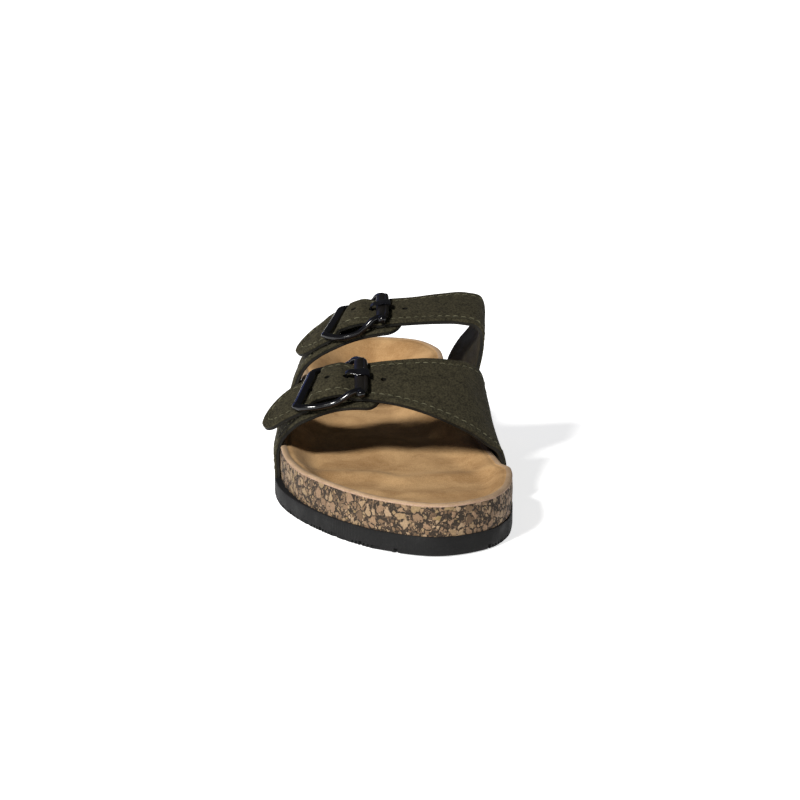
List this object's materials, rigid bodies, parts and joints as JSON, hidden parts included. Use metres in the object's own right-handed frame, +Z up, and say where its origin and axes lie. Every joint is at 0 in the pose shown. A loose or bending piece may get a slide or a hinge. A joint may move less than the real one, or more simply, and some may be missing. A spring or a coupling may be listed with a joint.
{
  "type": "sandal",
  "caption": "Right-foot open-toe sandal with a contoured cork footbed, suede insole, flat foam outsole and wide suede straps closed by black frame buckles.",
  "frame": {"origin": "middle of the shoe's outer box, on the floor", "axes": "toe towards -Y, heel towards +Y, inner (big toe) side towards +X, +Z up"},
  "size_m": [0.1061, 0.267, 0.0813],
  "materials": {
    "outsole_rubber": "matte foamed rubber",
    "cork": "sealed cork granules",
    "insole_suede": "tan suede",
    "strap_suede": "dark olive suede with dark lining",
    "buckle_enamel": "gloss black enamel"
  },
  "bodies": {
    "root": {"outsole": "outsole_rubber", "midsole": "cork", "insole": "insole_suede", "front_strap": "strap_suede", "front_strap_tab": "strap_suede", "rear_strap": "strap_suede", "rear_strap_tab": "strap_suede", "front_buckle_frame": "buckle_enamel", "front_buckle_prong": "buckle_enamel", "rear_buckle_frame": "buckle_enamel", "rear_buckle_prong": "buckle_enamel"}
  },
  "joints": []
}
